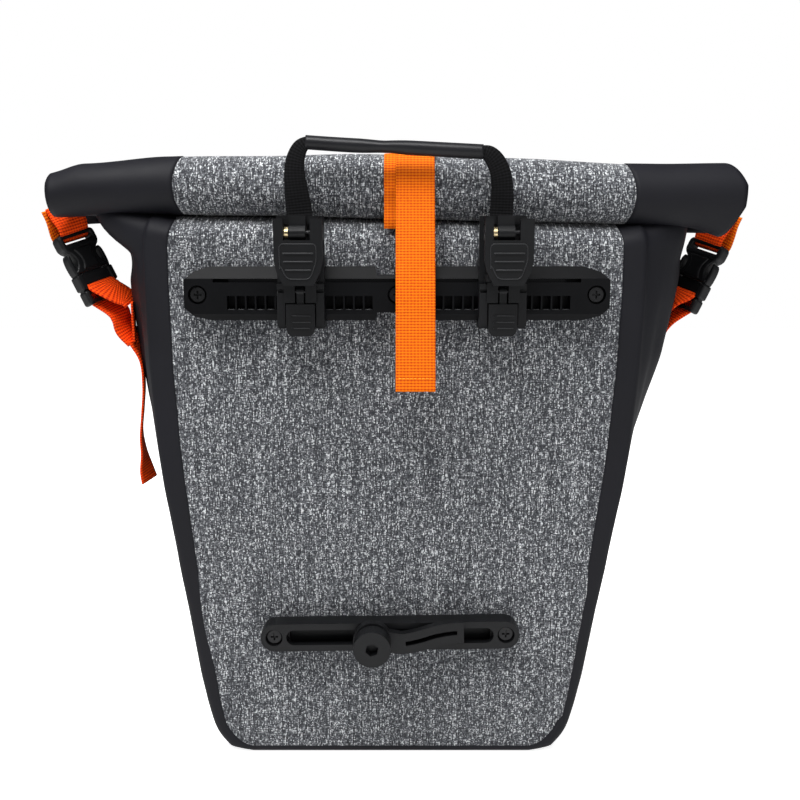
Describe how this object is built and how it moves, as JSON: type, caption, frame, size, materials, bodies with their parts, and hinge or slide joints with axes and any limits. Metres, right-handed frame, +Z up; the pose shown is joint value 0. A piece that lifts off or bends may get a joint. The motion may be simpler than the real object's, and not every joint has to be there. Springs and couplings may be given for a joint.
{
  "type": "pannier bag",
  "caption": "Roll-top waterproof bicycle pannier bag with sliding quick-release rack hooks, swivel lower hook, carrying handle and side-release buckles.",
  "frame": {"origin": "middle of the flat bottom, on the surface the bag stands on", "axes": "+Z up, -Y out of the back panel towards the bicycle rack, +X to the right seen from the rack"},
  "size_m": [0.4749, 0.2056, 0.4322],
  "materials": {
    "heather_fabric": "woven melange, matt",
    "coated_fabric": "smooth matt coated fabric",
    "board": "plain sheet",
    "black_plastic": "fine moulded grain",
    "sleeve": "smooth satin",
    "black_steel": "black oxide",
    "spring_brass": "bright wire",
    "orange_webbing": "ribbed webbing",
    "black_webbing": "ribbed webbing"
  },
  "bodies": {
    "bag": {"back_panel": "heather_fabric", "front_panel": "heather_fabric", "side_gusset": "coated_fabric", "stiffener_board": "board", "roll_center": "heather_fabric", "roll_stiffener": "board", "roll_end_left": "coated_fabric", "roll_end_right": "coated_fabric", "hook_rail": "black_plastic", "rail_left_screw": "black_steel", "rail_left_washer": "black_steel", "rail_center_screw": "black_steel", "rail_center_washer": "black_steel", "rail_right_screw": "black_steel", "rail_right_washer": "black_steel", "handle_anchor_left": "black_webbing", "handle_anchor_right": "black_webbing", "lower_rail": "black_plastic", "lower_left_screw": "black_steel", "lower_left_washer": "black_steel", "lower_right_screw": "black_steel", "lower_right_washer": "black_steel", "left_buckle_female": "black_plastic", "right_buckle_female": "black_plastic", "left_strap_upper": "orange_webbing", "right_strap_upper": "orange_webbing", "left_strap_lower": "orange_webbing", "right_strap_lower": "orange_webbing", "left_strap_tail": "orange_webbing", "right_strap_tail": "orange_webbing", "closure_strap": "orange_webbing", "closure_strap_tail": "orange_webbing", "front_buckle_male": "black_plastic", "front_buckle_loop": "orange_webbing", "front_anchor_webbing": "orange_webbing"},
    "left_hook": {"left_hook_body": "black_plastic", "left_lever_pin": "black_steel", "left_lever_spring": "spring_brass", "left_lock_tab_pin": "black_steel"},
    "left_lever": {"left_hook_lever": "black_plastic"},
    "left_tab": {"left_lock_tab": "black_plastic"},
    "right_hook": {"right_hook_body": "black_plastic", "right_lever_pin": "black_steel", "right_lever_spring": "spring_brass", "right_lock_tab_pin": "black_steel"},
    "right_lever": {"right_hook_lever": "black_plastic"},
    "right_tab": {"right_lock_tab": "black_plastic"},
    "handle": {"handle_grip": "sleeve", "handle_webbing_left": "black_webbing", "handle_webbing_right": "black_webbing"},
    "clamp": {"slide_nut": "black_steel", "clamp_washer": "black_steel"},
    "arm": {"swivel_hook": "black_plastic"},
    "knob": {"clamp_knob": "black_plastic"},
    "left_male": {"left_buckle_male": "black_plastic"},
    "right_male": {"right_buckle_male": "black_plastic"},
    "front_female": {"front_buckle_female": "black_plastic"}
  },
  "joints": [
    {"name": "left_hook_slide", "type": "slide", "parent": "bag", "child": "left_hook", "axis": [1, 0, 0], "range_m": [-0.026, 0.026]},
    {"name": "left_lever_hinge", "type": "hinge", "parent": "left_hook", "child": "left_lever", "pos_m": [-0.061, -0.1125, 0.3735], "axis": [1, 0, 0], "range_deg": [-40, 0], "stiffness_Nm_per_rad": 0.05, "springref_deg": 28.65},
    {"name": "left_tab_hinge", "type": "hinge", "parent": "left_hook", "child": "left_tab", "pos_m": [-0.061, -0.1002, 0.3365], "axis": [1, 0, 0], "range_deg": [-60, 0]},
    {"name": "right_hook_slide", "type": "slide", "parent": "bag", "child": "right_hook", "axis": [1, 0, 0], "range_m": [-0.026, 0.026]},
    {"name": "right_lever_hinge", "type": "hinge", "parent": "right_hook", "child": "right_lever", "pos_m": [0.0692, -0.1125, 0.3735], "axis": [1, 0, 0], "range_deg": [-40, 0], "stiffness_Nm_per_rad": 0.05, "springref_deg": 28.65},
    {"name": "right_tab_hinge", "type": "hinge", "parent": "right_hook", "child": "right_tab", "pos_m": [0.0692, -0.1002, 0.3365], "axis": [1, 0, 0], "range_deg": [-60, 0]},
    {"name": "handle_fold", "type": "hinge", "parent": "bag", "child": "handle", "pos_m": [0, -0.0766, 0.387], "axis": [1, 0, 0], "range_deg": [0, 75]},
    {"name": "clamp_slide", "type": "slide", "parent": "bag", "child": "clamp", "axis": [0.9999, 0, 0.014], "range_m": [-0.048, 0.072]},
    {"name": "arm_swivel", "type": "hinge", "parent": "clamp", "child": "arm", "pos_m": [-0.016, -0.0916, 0.09563], "axis": [0, -1, 0], "continuous": true},
    {"name": "knob_turn", "type": "hinge", "parent": "clamp", "child": "knob", "pos_m": [-0.016, -0.0993, 0.09563], "axis": [0, -1, 0], "continuous": true},
    {"name": "left_buckle_release", "type": "slide", "parent": "bag", "child": "left_male", "axis": [0.4202, 0, -0.9074], "range_m": [0, 0.025], "deforming": ["left_strap_lower"]},
    {"name": "right_buckle_release", "type": "slide", "parent": "bag", "child": "right_male", "axis": [-0.4202, 0, -0.9074], "range_m": [0, 0.025], "deforming": ["right_strap_lower"]},
    {"name": "front_buckle_release", "type": "slide", "parent": "bag", "child": "front_female", "axis": [0, 0, -1], "range_m": [0, 0.025], "deforming": ["front_anchor_webbing"]}
  ]
}
